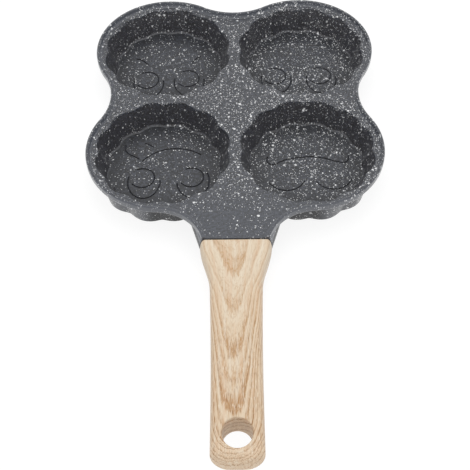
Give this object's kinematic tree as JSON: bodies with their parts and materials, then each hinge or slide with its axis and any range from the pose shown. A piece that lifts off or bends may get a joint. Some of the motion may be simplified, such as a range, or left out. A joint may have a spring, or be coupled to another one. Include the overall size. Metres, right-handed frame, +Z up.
{
  "type": "multi-cup egg pan",
  "caption": "Egg pan with round fluted cups in one cast deck with a low lip, a short flat neck and a straight wood-grain handle with a hang hole.",
  "frame": {"origin": "middle of the whole outline seen from above, at the level the pan stands on", "axes": "+Z up; +Y from the handle's end towards the rear cups; +X to the right for someone who holds the handle"},
  "size_m": [0.1906, 0.3626, 0.0398],
  "materials": {
    "speckled_coating": "dark grey non-stick coating with fine white specks over die-cast aluminium, satin",
    "wood_grain": "light wood-grain finish over moulded heat-proof plastic, satin",
    "fastener_steel": "zinc-plated, turned",
    "spring_steel": "hardened, darker than the screw",
    "base_steel": "stainless, brushed in rings"
  },
  "bodies": {
    "root": {"pan_body": "speckled_coating", "handle": "wood_grain", "handle_screw": "fastener_steel", "flat_washer": "fastener_steel", "spring_washer": "spring_steel", "base_plate_front_left": "base_steel", "base_plate_front_right": "base_steel", "base_plate_rear_left": "base_steel", "base_plate_rear_right": "base_steel"}
  },
  "joints": []
}
